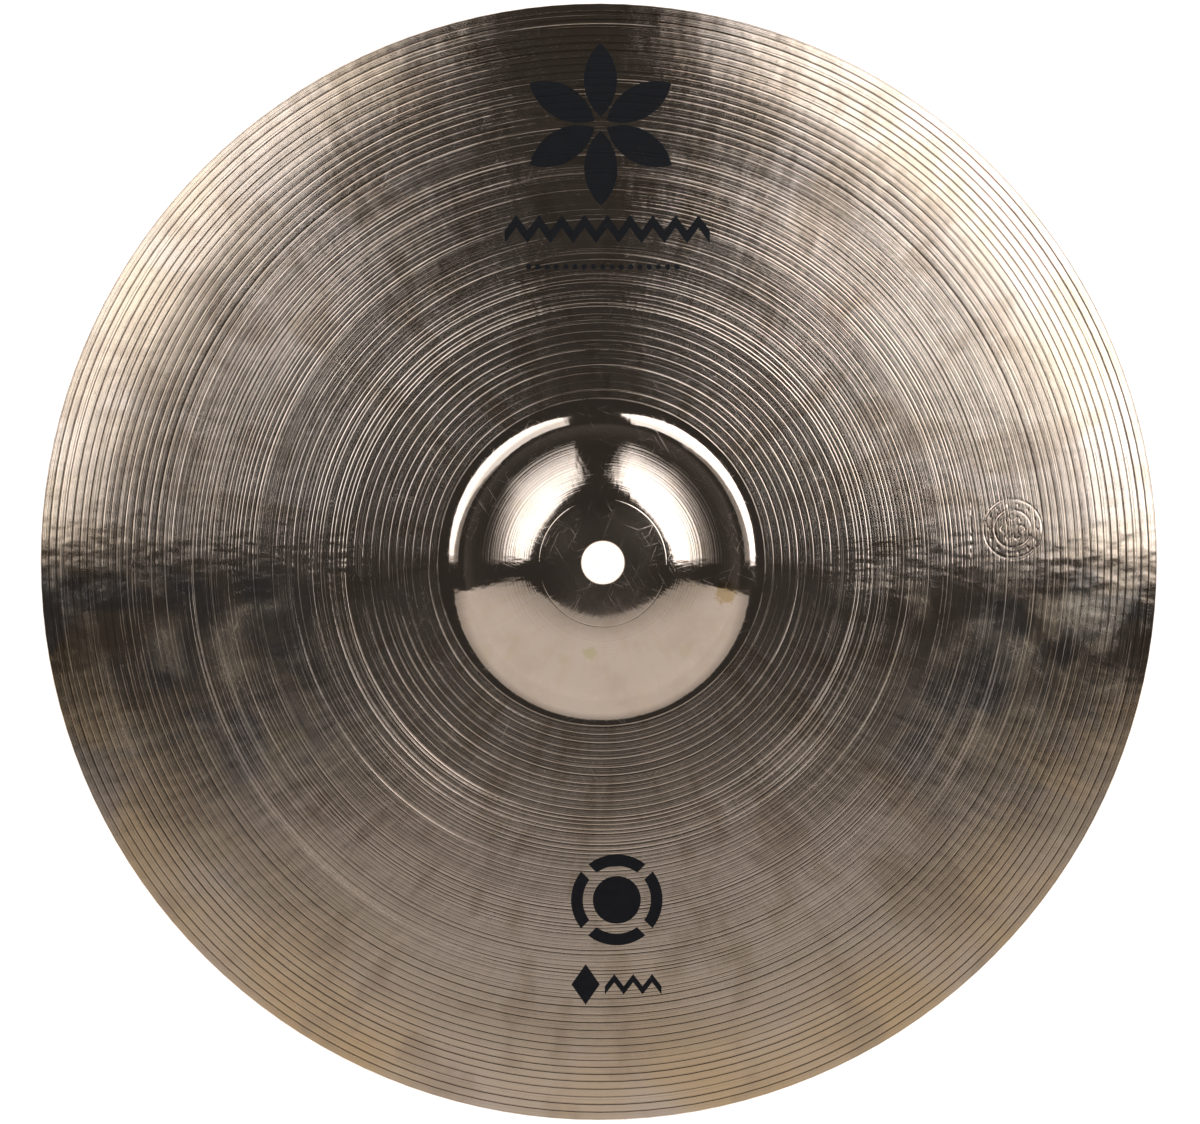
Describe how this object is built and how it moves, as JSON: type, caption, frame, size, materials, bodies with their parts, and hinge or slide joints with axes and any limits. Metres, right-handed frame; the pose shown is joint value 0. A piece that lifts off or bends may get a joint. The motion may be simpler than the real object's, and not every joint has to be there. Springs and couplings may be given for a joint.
{
  "type": "crash cymbal",
  "caption": "Round lathed bronze crash cymbal with a polished bell, a centre hole and black ornamental prints on its top face.",
  "frame": {"origin": "centre of the plane that the cymbal's rim rests on, under the centre hole", "axes": "+Z along the cymbal's axis, out of the top of the bell; +Y towards the upper prints, which read upright seen from above"},
  "size_m": [0.3556, 0.3556, 0.0327],
  "materials": {
    "bronze": "buffed bell bronze, mirror bright on the bell, lathed in fine rings on the bow",
    "ink": "matt black screen ink"
  },
  "bodies": {
    "root": {"cymbal_plate": "bronze", "upper_rosette_print": "ink", "upper_band_print": "ink", "upper_dot_row_print": "ink", "lower_wheel_print": "ink", "lower_footer_print": "ink"}
  },
  "joints": []
}
